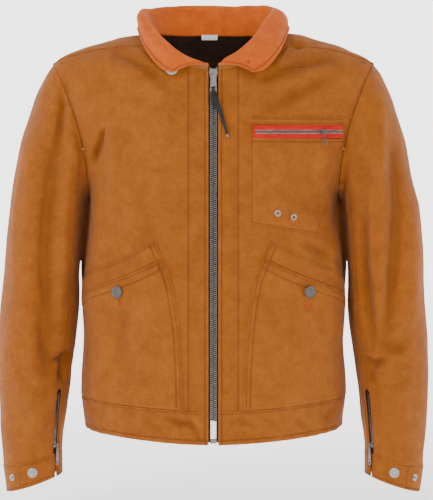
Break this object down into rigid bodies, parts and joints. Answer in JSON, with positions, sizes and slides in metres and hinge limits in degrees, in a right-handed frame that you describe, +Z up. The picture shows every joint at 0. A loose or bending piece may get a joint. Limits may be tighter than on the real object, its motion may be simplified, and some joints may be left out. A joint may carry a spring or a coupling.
{
  "type": "welding jacket",
  "caption": "Hip-length zip-front work jacket for welding: canvas shell, contrast turn-down collar, zipped sleeves with snap cuffs, slanted hand pockets, zipped chest pocket.",
  "frame": {"origin": "centre of the neck opening, level with the back neck seam", "axes": "+Z up, the front faces -Y, +X towards the wearer's left"},
  "size_m": [0.6454, 0.2873, 0.7248],
  "materials": {
    "canvas": "matte",
    "collar_cloth": "matte",
    "lining_cloth": "matte",
    "zip_cloth": "matte",
    "red_cloth": "matte",
    "zip_metal": "satin",
    "button_metal": "satin",
    "black_leather": "satin",
    "label_cloth": "matte"
  },
  "bodies": {
    "jacket": {"front_right": "canvas", "front_left": "canvas", "back_panel": "canvas", "shoulder_yoke": "canvas", "waistband_right": "canvas", "waistband_left": "canvas", "waistband_back": "canvas", "collar_top": "collar_cloth", "collar_under": "canvas", "collar_button": "button_metal", "sleeve_top_right": "canvas", "sleeve_top_left": "canvas", "sleeve_under_right": "canvas", "sleeve_under_left": "canvas", "cuff_right": "canvas", "cuff_left": "canvas", "snap_studs_right": "button_metal", "snap_studs_left": "button_metal", "sleeve_zip_tape_right": "zip_cloth", "sleeve_zip_tape_left": "zip_cloth", "sleeve_zip_teeth_right": "zip_metal", "sleeve_zip_teeth_left": "zip_metal", "hand_pocket_right": "canvas", "hand_pocket_left": "canvas", "pocket_facing_right": "canvas", "pocket_facing_left": "canvas", "pocket_button_right": "button_metal", "pocket_button_left": "button_metal", "chest_pocket_band": "canvas", "chest_pocket_bag": "canvas", "chest_zip_tape": "red_cloth", "chest_zip_teeth": "zip_metal", "eyelet_inner": "button_metal", "eyelet_outer": "button_metal", "bartacks": "red_cloth", "front_facing_right": "lining_cloth", "front_facing_left": "lining_cloth", "neck_lining": "lining_cloth", "size_label": "label_cloth", "zip_tape_right": "zip_cloth", "zip_tape_left": "zip_cloth", "zip_teeth_right": "zip_metal", "zip_teeth_left": "zip_metal", "zip_pin_box": "zip_metal", "zip_stops": "zip_metal"},
    "main_slider": {"zip_slider": "zip_metal"},
    "main_pull": {"zip_pull": "zip_metal"},
    "leather_tab": {"pull_tab": "black_leather"},
    "chest_slider": {"chest_slider": "zip_metal"},
    "chest_link": {"chest_pull_link": "zip_metal"},
    "chest_ring": {"chest_pull_ring": "zip_metal"},
    "sleeve_slider_right": {"sleeve_slider_right": "zip_metal"},
    "sleeve_pull_right": {"sleeve_pull_right": "zip_metal"},
    "cuff_tab_right": {"cuff_tab_right": "canvas", "snap_cap_right": "button_metal"},
    "sleeve_slider_left": {"sleeve_slider_left": "zip_metal"},
    "sleeve_pull_left": {"sleeve_pull_left": "zip_metal"},
    "cuff_tab_left": {"cuff_tab_left": "canvas", "snap_cap_left": "button_metal"}
  },
  "joints": [
    {"name": "main_zip_slide", "type": "slide", "parent": "jacket", "child": "main_slider", "axis": [0, -0.095, -0.9955], "range_m": [0, 0.518]},
    {"name": "main_pull_hinge", "type": "hinge", "parent": "main_slider", "child": "main_pull", "pos_m": [0, -0.09299, -0.06206], "axis": [-1, 0, 0], "range_deg": [0, 165]},
    {"name": "leather_tab_swing", "type": "hinge", "parent": "main_pull", "child": "leather_tab", "pos_m": [0, -0.09541, -0.08745], "axis": [0, -0.9955, 0.095], "range_deg": [-45, 13]},
    {"name": "chest_zip_run", "type": "hinge", "parent": "jacket", "child": "chest_slider", "pos_m": [0.0434, 0.253, -0.1483], "axis": [0, 0, 1], "range_deg": [-14, 3]},
    {"name": "chest_link_hinge", "type": "hinge", "parent": "chest_slider", "child": "chest_link", "pos_m": [0.16182, -0.08707, -0.1483], "axis": [-0.9444, -0.3289, 0], "range_deg": [0, 150]},
    {"name": "chest_ring_hinge", "type": "hinge", "parent": "chest_link", "child": "chest_ring", "pos_m": [0.16182, -0.08707, -0.1588], "axis": [-0.9444, -0.3289, 0], "range_deg": [-25, 60]},
    {"name": "sleeve_zip_slide_right", "type": "slide", "parent": "jacket", "child": "sleeve_slider_right", "axis": [0.0742, 0.1559, 0.985], "range_m": [0, 0.067]},
    {"name": "sleeve_pull_hinge_right", "type": "hinge", "parent": "sleeve_slider_right", "child": "sleeve_pull_right", "pos_m": [-0.23128, -0.05842, -0.61067], "axis": [-0.5447, -0.821, 0.171], "range_deg": [0, 150]},
    {"name": "cuff_tab_hinge_right", "type": "hinge", "parent": "jacket", "child": "cuff_tab_right", "pos_m": [-0.23882, -0.07022, -0.64032], "axis": [-0.0542, 0.1921, 0.9799], "range_deg": [0, 80]},
    {"name": "sleeve_zip_slide_left", "type": "slide", "parent": "jacket", "child": "sleeve_slider_left", "axis": [-0.0742, 0.1559, 0.985], "range_m": [0, 0.067]},
    {"name": "sleeve_pull_hinge_left", "type": "hinge", "parent": "sleeve_slider_left", "child": "sleeve_pull_left", "pos_m": [0.23128, -0.05842, -0.61067], "axis": [-0.5447, 0.821, -0.171], "range_deg": [0, 150]},
    {"name": "cuff_tab_hinge_left", "type": "hinge", "parent": "jacket", "child": "cuff_tab_left", "pos_m": [0.23882, -0.07022, -0.64032], "axis": [-0.0542, -0.1921, -0.9799], "range_deg": [0, 80]}
  ]
}
